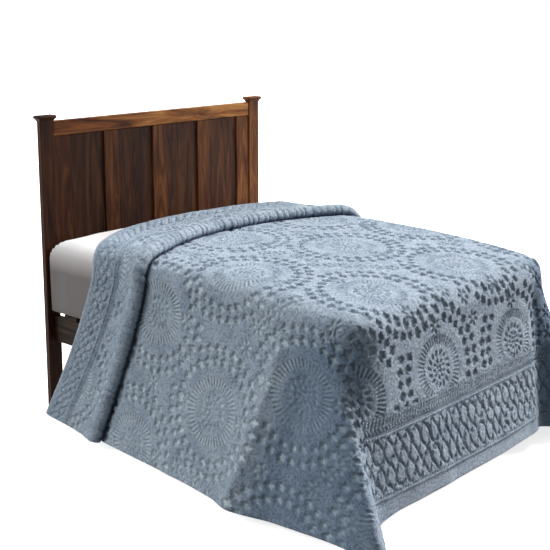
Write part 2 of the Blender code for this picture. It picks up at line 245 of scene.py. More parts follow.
def crossRow(line, xs, downs):
    # one row of the cloth: left hem, over the bed, right hem
    tops = bedSurface(xs, line, cloth["sideOffset"], cloth["topOffset"])
    left = skirtRow(tops[0], alongTable(leftHem, line[0])[0], downs)
    right = skirtRow(tops[-1], alongTable(rightHem, line[-1])[0], downs)
    return np.concatenate((left[::-1], tops, right))


def lifted(row, lift):
    along = np.gradient(row[:, [0, 2]], axis=0)
    normal = np.stack((-along[:, 1], along[:, 0]), axis=1)
    normal /= np.linalg.norm(normal, axis=1, keepdims=True)
    out = row.copy()
    out[:, [0, 2]] += normal * lift
    return out


def arcLength(points, axis=0):
    steps = np.linalg.norm(np.diff(points, axis=axis), axis=-1)
    start = np.zeros_like(np.take(steps, [0], axis=axis))
    return np.concatenate((start, np.cumsum(steps, axis=axis)), axis=axis)


def layLines(step):
    # how a row of points is spaced: across the flat cloth, across the bed, and down each skirt
    us = np.linspace(-rimU, rimU, 2 * round(rimU / step) + 1)
    skirtCount = round(cloth["dropLength"] / step)
    return us, xFromU(us), np.arange(1, skirtCount + 1) / skirtCount


def cuffCrossings(xs):
    # the lines of the tuck, the fold and the head hem
    return alongTable(cuffLines, xs / xs[-1]).T


def mainLayer(step, lastLine):
    # the layer on the bed, from the foot rim up to lastLine; its rows bend towards it
    _, xs, downs = layLines(step)
    straight = bed["footY"] + 2 * bed["cornerRadius"]
    vs = np.linspace(rimV, -lastLine.max(), round((rimV + lastLine.max()) / step) + 1)
    rows = []
    rowV = []
    for y, v in zip(yFromV(vs), vs):
        share = max((y - straight) / (lastLine.max() - straight), 0)
        line = straight + (lastLine - straight) * share if share > 0 else np.full(len(xs), y)
        rows.append(crossRow(line, xs, downs))
        rowV.append(-line if share > 0 else np.full(len(xs), v))
    return np.array(rows), np.array(rowV)


def cuffLayer(step, firstRow, evenly=True):
    # the Z of the cuff from one row of its path on to the head hem
    _, xs, downs = layLines(step)
    tuck, fold, head = cuffCrossings(xs)
    along = np.column_stack((-usualCuffLength * cuffPath[:, 0] + usualHemReach * cuffPath[:, 1]
                             + cuffPath[:, 2], cuffPath[:, 3]))
    walked = arcLength(along)
    if evenly:
        count = round((walked[-1] - walked[firstRow]) / step) + 1
        stations = np.linspace(walked[firstRow], walked[-1], count)
    else:
        last = len(walked) - 1
        stations = np.interp(np.arange(3 * firstRow, 3 * last + 1) / 3, np.arange(last + 1), walked)
    table = np.column_stack((walked, cuffPath))
    rows = []
    for toFold, toHead, past, lift in alongTable(table, stations):
        line = tuck + (fold - tuck) * toFold + (head - tuck) * toHead
        row = lifted(crossRow(line, xs, downs), lift)
        row[:, 1] += past
        rows.append(row)
    return np.array(rows)


def footSkirt(step, mainRows):
    # the skirt under the foot rim; its two upright edges are the side skirts' last rows
    _, xs, downs = layLines(step)
    count = len(downs)
    rim = mainRows[0, count:count + len(xs)]
    levels = np.empty((count, len(xs), 3))
    for n in range(1, len(xs) - 1):
        levels[:, n] = skirtRow(rim[n], alongTable(footHem, xs[n])[0], downs)
    levels[:, 0] = mainRows[0, :count][::-1]
    levels[:, -1] = mainRows[0, count + len(xs):]
    return np.concatenate((rim[None], levels))


def flatAcross(step, rows):
    # how far across the uncut cloth each point lies, and the columns at the bed's two edges
    us, xs, downs = layLines(step)
    left, right = len(downs), len(downs) + len(xs) - 1
    u = np.empty(rows.shape[:2])
    u[:, left:right + 1] = us
    u[:, :left] = -(rimU + arcLength(rows[:, left::-1], axis=1)[:, :0:-1])
    u[:, right + 1:] = rimU + arcLength(rows[:, right:], axis=1)[:, 1:]
    return u, left, right


def flatOfMain(step, rows, rowV):
    # where each point of the layer lies on the uncut cloth: u across, v down the bed
    u, left, right = flatAcross(step, rows)
    v = np.empty(rows.shape[:2])
    v[:, left:right + 1] = rowV
    skirts = ((slice(0, left), left), (slice(right + 1, None), right))
    for (columns, rim), hangsStraight in zip(skirts, cloth["hangsStraight"]):
        travelled = arcLength(rows[:, columns])
        anchor = np.argmin(np.abs(rows[:, rim, 1] - hangsStraight))
        v[:, columns] = v[anchor, rim] + travelled[anchor] - travelled
    return u, v


def flatOfFoot(levels):
    travelled = arcLength(levels, axis=1)
    middle = levels.shape[1] // 2
    return travelled - travelled[:, middle:middle + 1], rimV + arcLength(levels)


def flatOfCuff(step, rows, headV):
    u, _, _ = flatAcross(step, rows)
    walked = arcLength(rows)
    return u, headV + walked[-1:] - walked


# meshes from grids

def gridFaces(index):
    return np.stack((index[:-1, :-1], index[:-1, 1:], index[1:, 1:], index[1:, :-1]), axis=-1).reshape(-1, 4)


def pointNormals(points, faces):
    a, b, c, d = (points[faces[:, n]] for n in range(4))
    faceNormal = np.cross(c - a, d - b)
    total = np.zeros_like(points)
    for axis in range(3):
        for n in range(4):
            total[:, axis] += np.bincount(faces[:, n], faceNormal[:, axis], len(points))
    return total / np.maximum(np.linalg.norm(total, axis=1, keepdims=True), 1e-12)


def meshPiece(name, points, faces, material, values=None, normals=None):
    used, faces = np.unique(faces, return_inverse=True)
    faces = faces.reshape(-1, 4).astype(np.int32)
    mesh = bpy.data.meshes.new(name)
    mesh.vertices.add(len(used))
    mesh.vertices.foreach_set("co", (points[used] + bedToFrame).astype(np.float32).ravel())
    mesh.loops.add(faces.size)
    mesh.loops.foreach_set("vertex_index", faces.ravel())
    mesh.polygons.add(len(faces))
    mesh.polygons.foreach_set("loop_start", np.arange(0, faces.size, 4, dtype=np.int32))
    mesh.update(calc_edges=True)
    mesh.validate()
    mesh.shade_smooth()
    for key, value in (values or {}).items():
        layer = mesh.attributes.new(key, "FLOAT", "POINT")
        layer.data.foreach_set("value", value[used].astype(np.float32))
    if normals is not None:
        mesh.normals_split_custom_set_from_vertices(normals[used].astype(float).tolist())
    mesh.materials.append(material)
    piece = bpy.data.objects.new(name, mesh)
    bpy.context.scene.collection.objects.link(piece)
    return piece


creases = (
    # from, to, outward, half width: a soft ridge and the hollow beside it near the foot corner
    ((-0.700, -1.455, 0.70), (-0.897, -1.350, 0.06), 0.015, 0.027),
    ((-0.700, -1.300, 0.60), (-0.860, -1.230, 0.06), -0.006, 0.055),
    ((-0.620, -1.800, 0.66), (-0.690, -1.870, 0.06), -0.012, 0.045),
    ((-0.700, -1.580, 0.62), (-0.880, -1.520, 0.06), -0.014, 0.065),
    ((0.520, -1.790, 0.72), (0.550, -1.850, 0.06), -0.026, 0.045),
    ((0.635, -1.800, 0.76), (0.690, -1.930, 0.06), 0.034, 0.040),
    ((-0.700, -1.050, 0.52), (-0.845, -0.960, 0.06), 0.005, 0.055),
    ((-0.300, -1.790, 0.55), (-0.270, -1.870, 0.10), 0.004, 0.060),
)


def creaseLift(points):
    lift = np.zeros(len(points))
    for start, end, outward, halfWidth in creases:
        start, end = np.array(start), np.array(end)
        along = end - start
        share = np.clip((points - start) @ along / (along @ along), 0, 1)
        away = np.linalg.norm(points - start - share[:, None] * along, axis=1)
        lift += outward * np.exp(-(away / halfWidth) ** 2) * grow(share, 0, 0.15)
    return lift


# painted shade on the drops: on the facet beside the near foot corner and on the far corner's wall it sets
# in over a short way from a crease, given by its place at the top of the drop and at the hem; the whole
# right drop gets part of it too
turnedPile = {
    "dropTop": 0.70,
    "dropHem": 0.06,
    "leftFacet": {"creaseY": (-1.450, -1.345), "setsIn": 0.11, "amount": 0.90},
    "footWall": {"creaseX": (0.515, 0.545), "setsIn": 0.02, "toX": 0.670, "amount": 1.0},
    "rightDrop": 0.45,
}


def facing(normals, side):
    # 1 on the drop that faces left (-1) or right (1), 0 on the bed's top and at the foot
    return np.clip(side * normals[:, 0] * 1.4 - 0.3, 0, 1)


def turnedAt(points, normals):
    x, y, z = points.T
    down = (turnedPile["dropTop"] - z) / (turnedPile["dropTop"] - turnedPile["dropHem"])
    look = turnedPile["leftFacet"]
    creaseY = look["creaseY"][0] + (look["creaseY"][1] - look["creaseY"][0]) * down
    facet = grow(creaseY - y, 0, look["setsIn"]) * grow(z, 0.80, 0.66) * (x < 0)
    turned = look["amount"] * facet * grow(-normals[:, 0], 0.25, 0.60)
    look = turnedPile["footWall"]
    creaseX = look["creaseX"][0] + (look["creaseX"][1] - look["creaseX"][0]) * down
    wall = grow(x - creaseX, 0, look["setsIn"]) * grow(look["toX"] - x, 0, look["setsIn"])
    turned += look["amount"] * wall * grow(z, 0.82, 0.74) * grow(-normals[:, 1], 0.15, 0.40)
    return np.clip(turned + turnedPile["rightDrop"] * facing(normals, 1), 0, 1)


def ripple(points, normals):
    # the cloth's slow unevenness, the same for the backing and the tufted face
    x, y, z = points.T
    swell = (np.sin(8.3 * x + 5.1 * y + 3.0 * z) + np.sin(-5.7 * x + 9.4 * y + 6.1 * z + 1.3)
             + np.sin(13.1 * x - 7.9 * y + 4.3 * z + 4.1)) / 3
    outward = cloth["rippleOnTop"] * grow(z, 0.70, 0.80) * (0.5 + 0.5 * swell)
    outward += cloth["rippleOnSkirt"] * grow(z, 0.66, 0.46) * swell
    outward += creaseLift(points)
    return points + normals * outward[:, None]


# the tufted design, on the flat cloth

design = {
    "cell": 0.0025,
    "uReach": 1.56,
    "vFrom": -0.95,
    "vTo": 2.62,
    "headV": -0.83,             # the head hem; the foot hem is about 2.43
    "medallionStep": (0.585, 0.455, 0.18),   # across, down, shift of each row
    "firstMedallion": (-0.56, 1.11),
    "lastMedallionV": 2.2,
    "apart": 0.36,              # a lattice place this near a placed medallion is left out
    "dashRing": {"inner": 0.094, "outer": 0.134, "count": 46, "raised": 0.42, "cut": 0.62, "bare": 0.90},
    # rings of small oval hollows: start and tilt are angles, long and wide are half sizes
    "wreath": {"radius": 0.061, "count": 15, "start": 0.0, "tilt": math.radians(24),
               "long": 0.0115, "wide": 0.0046, "depth": 0.70},
    "rosette": {"radius": 0.031, "count": 9, "start": math.pi / 9, "tilt": 0.0,
                "long": 0.0070, "wide": 0.0044, "depth": 0.65},
    "heart": {"radius": 0.011, "count": 4, "start": math.pi / 4, "tilt": 0.0,
              "long": 0.0070, "wide": 0.0044, "depth": 0.65},
    "flower": {"radius": 0.021, "count": 6, "start": 0.3, "tilt": 0.0,
               "long": 0.0115, "wide": 0.0062, "depth": 0.75},
    "softEdge": 0.30,           # how much of a hollow's half size its rim takes
    "paleFloor": 0.9,
    "starRings": ((0.196, 27), (0.243, 33)),
    "star": {"reach": 0.0190, "softness": 0.0020, "apart": 0.041, "astray": 0.0025},
    "sideFlower": 0.166,        # above and below each medallion's middle
    "fillers": {"step": 0.045, "fromMedallion": 0.275, "fromStar": 0.052},
    "shearing": ((3, 0.20), (7, 0.12), (17, 0.12)),   # cells across a patch, how uneven it is
}
# medallions whose place on the cloth is known; the rest follow the lattice
medallions = [
    # u, v
    (-0.181, 0.668), (-0.559, 1.121), (0.058, 1.113), (0.613, 1.081), (-0.374, 1.590), (0.212, 1.582),
    (-0.228, 1.998), (0.316, 2.009), (-0.689, 2.010), (-0.844, 0.768), (-1.153, 1.150), (-1.424, 0.692),
]
border = {
    "ribbedFrom": 2.088,
    "seam": 2.142,
    "zigzagTo": 2.368,
    "hemLine": 2.382,
    "ribPitch": 0.0165,
    "ribDepth": 0.60,
    "leafRows": 2,
    "leafWide": 0.052,
    "leafSlit": 0.0040,         # half the width of the slits between the leaves
    "leafDepths": (0.90, 0.84),  # of the slits that lean left and right
    "edging": 0.010,            # the fine ribs above and below the leaves
    "headLines": (0.022, 0.034, 0.172, 0.186, 0.198),   # from the head hem
    "headZigzag": (0.044, 0.160),
}

uAxis = np.arange(-design["uReach"], design["uReach"], design["cell"])
vAxis = np.arange(design["vFrom"], design["vTo"], design["cell"])
pile = np.ones((len(vAxis), len(uAxis)))       # 1 is full pile, 0 cut right down
bare = np.zeros_like(pile)                     # where the paler ground cloth shows


def cellsNear(u, v, reach):
    # the part of the raster round a place, and how far its cells lie from it across and down
    cell = design["cell"]
    a = int(max((u - reach + design["uReach"]) / cell, 0))
    b = int(min((u + reach + design["uReach"]) / cell + 2, len(uAxis)))
    c = int(max((v - reach - design["vFrom"]) / cell, 0))
    d = int(min((v + reach - design["vFrom"]) / cell + 2, len(vAxis)))
    window = (slice(c, max(d, c)), slice(a, max(b, a)))
    return window, uAxis[window[1]][None, :] - u, vAxis[window[0]][:, None] - v


def smooth(t):
    return t * t * (3 - 2 * t)


def sinkInto(window, hollow, paler):
    pile[window] = np.minimum(pile[window], 1 - hollow)
    bare[window] = np.maximum(bare[window], paler)


def press(u, v, angle, oval):
    window, du, dv = cellsNear(u, v, 1.5 * max(oval["long"], oval["wide"]) + 0.004)
    a = (du * math.cos(angle) + dv * math.sin(angle)) / oval["long"]
    b = (-du * math.sin(angle) + dv * math.cos(angle)) / oval["wide"]
    soft = design["softEdge"]
    inside = smooth(np.clip((1 + soft - np.hypot(a, b)) / (2 * soft), 0, 1))
    sinkInto(window, oval["depth"] * inside, design["paleFloor"] * inside)


def ringOf(oval, u, v):
    for n in range(oval["count"]):
        turn = 2 * math.pi * n / oval["count"] + oval["start"]
        press(u + oval["radius"] * math.cos(turn), v + oval["radius"] * math.sin(turn),
              turn + oval["tilt"], oval)


def cutStar(u, v, size, turn, points):
    # a cut-out star with uneven points; its floor is the paler ground cloth
    softness = design["star"]["softness"]
    window, du, dv = cellsNear(u, v, 1.25 * size + 0.004)
    theta = np.arctan2(dv, du) - turn
    reach = size * (0.78 + 0.20 * np.cos(points * theta) + 0.10 * np.cos(2 * theta + 1.0))
    hollow = smooth(np.clip((reach + softness - np.hypot(du, dv)) / (2 * softness), 0, 1))
    sinkInto(window, hollow, hollow)


def dashRing(u, v):
    # slits between raised dashes, so that the ring as a whole stands no lower than the rest
    ring = design["dashRing"]
    window, du, dv = cellsNear(u, v, ring["outer"] + 0.01)
    r = np.hypot(du, dv)
    inRing = grow(r, ring["inner"], ring["inner"] + 0.003) * grow(r, ring["outer"], ring["outer"] - 0.003)
    wave = np.cos(ring["count"] * np.arctan2(dv, du))
    dashes = ring["raised"] * np.clip(-wave, 0, 1)
    slits = ring["cut"] * np.clip(1.4 * wave - 0.2, 0, 1)
    pile[window] = np.minimum(pile[window], 1.0) + inRing * (dashes - slits)
    bare[window] = np.maximum(bare[window], ring["bare"] * inRing * np.clip(-1.2 * wave, 0, 1))


def medallion(u, v):
    dashRing(u, v)
    for part in ("wreath", "rosette", "heart"):
        ringOf(design[part], u, v)
    for side in (-1, 1):
        ringOf(design["flower"], u, v + side * design["sideFlower"])


def allMedallions():
    stepU, stepV, shift = design["medallionStep"]
    firstU, firstV = design["firstMedallion"]
    places = list(medallions)
    for row in range(-5, 4):
        for column in range(-5, 6):
            u, v = firstU + stepU * column + shift * row, firstV + stepV * row
            near = min(math.hypot(u - a, v - b) for a, b in medallions)
            if near > design["apart"] and abs(u) < design["uReach"] and v < design["lastMedallionV"]:
                places.append((u, v))
    return places


def starRows(places):
    # double rings of small stars, thinned where two medallions' rings meet
    random = np.random.default_rng(3)
    look = design["star"]
    stars = np.zeros((0, 2))
    for u, v in places:
        for radius, count in design["starRings"]:
            for n in range(count):
                turn = 2 * math.pi * (n + 0.5) / count
                star = np.array((u + radius * math.cos(turn), v + radius * math.sin(turn)))
                inside = min(math.hypot(star[0] - a, star[1] - b) for a, b in places)
                tooNear = len(stars) and np.min(np.hypot(*(stars - star).T)) < look["apart"]
                if inside < design["starRings"][0][0] - 0.012 or tooNear:
                    continue
                stars = np.vstack((stars, star))
                place = star + random.uniform(-look["astray"], look["astray"], 2)
                cutStar(*place, look["reach"] * random.uniform(0.85, 1.12),
                        turn + random.uniform(-0.3, 0.3), 4 + int(random.random() < 0.4))
    return stars


def fillGaps(places, stars):
    # a small flower in each place that the rings leave empty
    fillers = design["fillers"]
    for u in np.arange(-1.5, 1.5, fillers["step"]):
        for v in np.arange(-0.80, 2.08, fillers["step"]):
            toMedallion = min(math.hypot(u - a, v - b) for a, b in places)
            toStar = np.min(np.hypot(stars[:, 0] - u, stars[:, 1] - v))
            if toMedallion > fillers["fromMedallion"] and toStar > fillers["fromStar"]:
                ringOf(design["flower"], u, v)
                stars = np.vstack((stars, (u, v)))


def groove(atV, halfWidth, depth):
    near = np.clip(1.5 - np.abs(vAxis - atV) / halfWidth, 0, 1)[:, None]
    np.minimum(pile, 1 - depth * near, out=pile)


def clearBand(vFrom, vTo, level=1.0, shows=0.0):
    pile[(vAxis > vFrom) & (vAxis < vTo)] = level
    bare[(vAxis > vFrom) & (vAxis < vTo)] = shows


def ribs(vFrom, vTo, pitch, depth, lean=0.0):
    rows = (vAxis > vFrom) & (vAxis < vTo)
    wave = np.cos(2 * np.pi * (uAxis[None, :] + lean * (vAxis[rows][:, None] - vFrom)) / pitch)
    pile[rows] = np.minimum(pile[rows], 1 - depth * np.clip(wave, 0, 1))


def leafBand(vFrom, vTo):
    # tall raised leaves in a diamond lattice, parted by slim slits, between two rows of fine ribs
    start, end = vFrom + border["edging"], vTo - border["edging"]
    inside = (vAxis > start) & (vAxis < end)
    tall = (end - start) / border["leafRows"]
    across = uAxis[None, :] / border["leafWide"]
    down = (vAxis[inside][:, None] - start) / tall
    bow = 0.055 * np.sin(2 * np.pi * down)
    # no two leaves are quite alike
    sway = 0.085 * np.sin(5.1 * across + 2.3 * down) + 0.060 * np.sin(11.7 * across - 4.9 * down)
    slope = math.hypot(1 / border["leafWide"], 1 / tall)
    fall = np.ones((len(down), len(uAxis)))
    for lean, depth in zip((-1, 1), border["leafDepths"]):
        line = across + lean * (down + bow) + sway
        away = np.abs(line - np.round(line)) / slope / border["leafSlit"]
        fall = np.minimum(fall, 1 - depth * np.exp(-away ** 2))
    pile[inside] = np.minimum(pile[inside], fall)
    ribs(vFrom, start, 0.014, 0.6)
    ribs(end, vTo, 0.014, 0.6)


def footBorder():
    ribbed, seam, hemLine = border["ribbedFrom"], border["seam"], border["hemLine"]
    clearBand(ribbed - 0.008, design["vTo"])
    ribs(ribbed, seam - 0.030, border["ribPitch"], border["ribDepth"], 0.5)
    ribs(seam - 0.025, seam - 0.007, border["ribPitch"], border["ribDepth"], -0.5)
    for line in (ribbed - 0.004, seam - 0.0275):
        groove(line, 0.0020, 0.35)
    leafBand(seam + 0.008, border["zigzagTo"])
    groove(seam, 0.0034, 1.30)
    clearBand(hemLine, design["vTo"], 0.50, 0.12)
    groove(hemLine, 0.0030, 1.20)


def headBorder():
    headV = design["headV"]
    lines = border["headLines"]
    clearBand(design["vFrom"], headV + lines[-1] + 0.006)
    leafBand(*(headV + line for line in border["headZigzag"]))
    clearBand(design["vFrom"], headV + lines[0], 0.6, 0.12)
    ribs(headV + lines[2], headV + lines[4], 0.0135, 0.5)
    for line in lines:
        groove(headV + line, 0.0026, 0.85)


def unevenPile():
    # the tufts were sheared by hand, so the full pile is never quite level
    random = np.random.default_rng(7)
    for size, amount in design["shearing"]:
        coarse = random.random((len(vAxis) // size + 3, len(uAxis) // size + 3))
        v = np.arange(len(vAxis)) / size
        u = np.arange(len(uAxis)) / size
        iv, iu = v.astype(int), u.astype(int)
        fv, fu = smooth(v - iv)[:, None], smooth(u - iu)[None, :]
        blend = (coarse[iv][:, iu] * (1 - fv) * (1 - fu) + coarse[iv + 1][:, iu] * fv * (1 - fu)
                 + coarse[iv][:, iu + 1] * (1 - fv) * fu + coarse[iv + 1][:, iu + 1] * fv * fu)
        pile[:] += amount * (blend - 0.5) * np.clip(pile, 0, 1)


def readOff(field, u, v):
    a = np.clip((u + design["uReach"]) / design["cell"], 0, len(uAxis) - 1.001)
    b = np.clip((v - design["vFrom"]) / design["cell"], 0, len(vAxis) - 1.001)
    ia, ib = a.astype(int), b.astype(int)
    fa, fb = a - ia, b - ib
    return (field[ib, ia] * (1 - fa) * (1 - fb) + field[ib, ia + 1] * fa * (1 - fb)
            + field[ib + 1, ia] * (1 - fa) * fb + field[ib + 1, ia + 1] * fa * fb)


def findEdgeShade():
    # how steeply the pile falls: painted shade darkens its cut edges where it falls steeply
    dv, du = np.gradient(np.clip(pile, 0, 1), design["cell"])
    return np.clip(np.hypot(du, dv) * 0.0040 - 0.15, 0, 1)


def drawDesign():
    places = allMedallions()
    stars = starRows(places)
    for u, v in places:
        medallion(u, v)
    fillGaps(places, stars)
    footBorder()
    headBorder()
    unevenPile()
    print("design drawn:", len(places), "medallions,", len(stars), "stars")


# materials

white = (1.0, 1.0, 1.0)


def newMaterial(name, roughness, colour=(0.5, 0.5, 0.5)):
    material = bpy.data.materials.new(name)
    material.use_nodes = True
    shader = material.node_tree.nodes["Principled BSDF"]
    shader.inputs["Base Color"].default_value = (*colour, 1)
    shader.inputs["Roughness"].default_value = roughness
    return material, material.node_tree, shader


def noiseNode(tree, vector, scale, detail, roughness=0.5, distortion=0.0):
    node = tree.nodes.new("ShaderNodeTexNoise")
    node.inputs["Scale"].default_value = scale
    node.inputs["Detail"].default_value = detail
    node.inputs["Roughness"].default_value = roughness
    node.inputs["Distortion"].default_value = distortion
    tree.links.new(vector, node.inputs["Vector"])
    return node.outputs["Fac"]


def rampNode(tree, factor, stops):
    node = tree.nodes.new("ShaderNodeValToRGB")
    while len(node.color_ramp.elements) < len(stops):
        node.color_ramp.elements.new(0.5)
    for element, (place, colour) in zip(node.color_ramp.elements, stops):
        element.position = place
        element.color = (*colour, 1) if len(colour) == 3 else colour
    tree.links.new(factor, node.inputs["Fac"])
    return node.outputs["Color"]


def mixNode(tree, factor, first, second, mode="MIX"):
    node = tree.nodes.new("ShaderNodeMix")
    node.data_type = "RGBA"
    node.blend_type = mode
    for socket, value in ((node.inputs[0], factor), (node.inputs[6], first), (node.inputs[7], second)):
        if isinstance(value, (int, float)):
            socket.default_value = value
        elif isinstance(value, tuple):
            socket.default_value = (*value, 1)
        else:
            tree.links.new(value, socket)
    return node.outputs[2]


def bumpNode(tree, height, strength, distance, normal=None):
    node = tree.nodes.new("ShaderNodeBump")
    node.inputs["Strength"].default_value = strength
    node.inputs["Distance"].default_value = distance
    tree.links.new(height, node.inputs["Height"])
    if normal is not None:
        tree.links.new(normal, node.inputs["Normal"])
    return node.outputs["Normal"]


def objectPlace(tree, scale=(1, 1, 1), moved=(0, 0, 0)):
    coordinates = tree.nodes.new("ShaderNodeTexCoord")
    mapping = tree.nodes.new("ShaderNodeMapping")
    mapping.inputs["Scale"].default_value = scale
    mapping.inputs["Location"].default_value = moved
    tree.links.new(coordinates.outputs["Object"], mapping.inputs["Vector"])
    return mapping.outputs["Vector"]


def splitPlace(tree, place):
    split = tree.nodes.new("ShaderNodeSeparateXYZ")
    tree.links.new(place, split.inputs[0])
    return split


def writtenValue(tree, name):
    # a value that the mesh holds for each of its points
    node = tree.nodes.new("ShaderNodeAttribute")
    node.attribute_name = name
    return node.outputs["Fac"]


chenille = {
    "pileDeep": (0.405, 0.500, 0.605),
    "pile": (0.535, 0.632, 0.730),
    "ground": (0.800, 0.905, 0.960),
    # these darken the pile: painted shade on parts of the drops, painted shade at a cut edge, and mottling
    # between the tufts and the fibres
    "turned": (0.46, 0.53, 0.61),
    "cutEdgeShade": (0.60, 0.66, 0.74),
    "speckle": (0.44, 0.48, 0.53),
    "fibre": (0.76, 0.78, 0.81),
    "shade": (0.06, 0.09, 0.16),       # deep in the fold, where hardly any light comes back
    "scales": {"brushed": 11.0, "tufts": 105.0, "fibres": 420.0},   # per metre
    "roughness": 0.92,
    "specular": 0.12,
    "sheen": 0.20,
    "sheenRoughness": 0.45,
    "sheenTint": (0.88, 0.93, 1.0),
    "fuzz": 0.9,
    "fuzzHeights": (0.0085, 0.0016),   # of the tufts and the fibres
}


def chenilleMaterial(name):
    material, tree, shader = newMaterial(name, chenille["roughness"])
    place = objectPlace(tree)
    scales = chenille["scales"]
    brushed = noiseNode(tree, place, scales["brushed"], 3.0, 0.6)
    tufts = noiseNode(tree, place, scales["tufts"], 4.0, 0.7)
    fibres = noiseNode(tree, place, scales["fibres"], 2.0, 0.6)
    colour = rampNode(tree, brushed, ((0.34, chenille["pileDeep"]), (0.56, chenille["pile"])))
    speckle = rampNode(tree, tufts, ((0.34, chenille["speckle"]), (0.56, white)))
    colour = mixNode(tree, 1.0, colour, speckle, "MULTIPLY")
    colour = mixNode(tree, writtenValue(tree, "bare"), colour, chenille["ground"])
    # painted shade: the pile darkens at its cut edges and on parts of the drops
    for value, darker in (("edge", chenille["cutEdgeShade"]), ("turned", chenille["turned"])):
        darkening = mixNode(tree, writtenValue(tree, value), white, darker)
        colour = mixNode(tree, 1.0, colour, darkening, "MULTIPLY")
    fine = rampNode(tree, fibres, ((0.30, chenille["fibre"]), (0.62, white)))
    colour = mixNode(tree, 1.0, colour, fine, "MULTIPLY")
    colour = mixNode(tree, writtenValue(tree, "shade"), colour, chenille["shade"])
    tree.links.new(colour, shader.inputs["Base Color"])
    shader.inputs["Sheen Weight"].default_value = chenille["sheen"]
    shader.inputs["Sheen Roughness"].default_value = chenille["sheenRoughness"]
    shader.inputs["Sheen Tint"].default_value = (*chenille["sheenTint"], 1)
    shader.inputs["Specular IOR Level"].default_value = chenille["specular"]
    normal = None
    for height, distance in zip((tufts, fibres), chenille["fuzzHeights"]):
        normal = bumpNode(tree, height, chenille["fuzz"], distance, normal)
    tree.links.new(normal, shader.inputs["Normal"])
    return material


cotton = {
    "white": (0.74, 0.73, 0.73),
    "shade": (0.62, 0.61, 0.62),
    "sideShadeTop": (0.64, 0.61, 0.59),
    "sideShadeBottom": (0.150, 0.135, 0.130),
    "side": (0.69, 0.80),       # heights over which the painted shade on the sheet's side fades out upwards
    "weave": 900.0,             # threads per metre
    "creases": 26.0,
    "roughness": 0.85,
    "sheen": 0.08,
}


def cottonMaterial(name):
    material, tree, shader = newMaterial(name, cotton["roughness"])
    place = objectPlace(tree)
    soft = noiseNode(tree, place, 7.0, 3.0)
    sheet = rampNode(tree, soft, ((0.30, cotton["shade"]), (0.62, cotton["white"])))
    height = splitPlace(tree, place).outputs["Z"]
    low, high = cotton["side"]
    # painted shade: the sheet's side is darker towards the bottom
    side = rampNode(tree, height, ((low, cotton["sideShadeBottom"]), (high, cotton["sideShadeTop"])))
    onTop = rampNode(tree, height, ((high - 0.03, (0, 0, 0)), (high + 0.01, white)))
    colour = mixNode(tree, onTop, side, sheet)
    tree.links.new(colour, shader.inputs["Base Color"])
    threads = noiseNode(tree, objectPlace(tree, (1, 1, 0.25)), cotton["weave"], 2.0)
    creases = noiseNode(tree, objectPlace(tree, (1, 1, 0.35)), cotton["creases"], 3.0, 0.5, 0.6)
    normal = bumpNode(tree, creases, 0.35, 0.0040)
    normal = bumpNode(tree, threads, 0.25, 0.0004, normal)
    tree.links.new(normal, shader.inputs["Normal"])
    shader.inputs["Sheen Weight"].default_value = cotton["sheen"]
    return material


# the top rail's own honey tone, partly painted light: made lighter and more golden for light on its front
litHoneyWood = {
    "dark": (0.090, 0.026, 0.007),
    "middle": (0.400, 0.155, 0.042),
    "light": (0.780, 0.400, 0.125),
    "pore": (0.42, 0.34, 0.28),
    "leftEndShade": (0.40, 0.30, 0.26),
    "roughness": 0.50,
}
postWood = {
    "dark": (0.050, 0.013, 0.004),
    "middle": (0.150, 0.048, 0.013),
    "light": (0.340, 0.140, 0.040),
    "pore": (0.45, 0.38, 0.32),
    "leftEndShade": (0.15, 0.10, 0.08),
    "roughness": 0.50,
}
# a darker copy of the post wood: painted shade on the headboard's panels
shadedPanelWood = {
    "dark": (0.022, 0.007, 0.003),
    "middle": (0.066, 0.022, 0.008),
    "light": (0.150, 0.060, 0.020),
    "pore": (0.45, 0.38, 0.32),
    "leftEndShade": (0.30, 0.24, 0.20),
    "roughness": 0.55,
}
stainedPine = {
    "dark": (0.010, 0.006, 0.004),
    "middle": (0.026, 0.016, 0.011),
    "light": (0.048, 0.030, 0.020),
    "pore": (0.40, 0.38, 0.36),
    "leftEndShade": white,
    "roughness": 0.6,
}
grain = {
    "bandScales": (15.0, 1.6),       # across and along the grain
    "poreScales": (120.0, 4.0),
    "wander": 1.8,                   # how far the bands leave the straight
    "pores": 0.55,
    "poreDepth": 0.0010,
    "specular": 0.10,
    "shift": (3.7, 1.9, 5.3),        # from one board's grain to the next one's
}


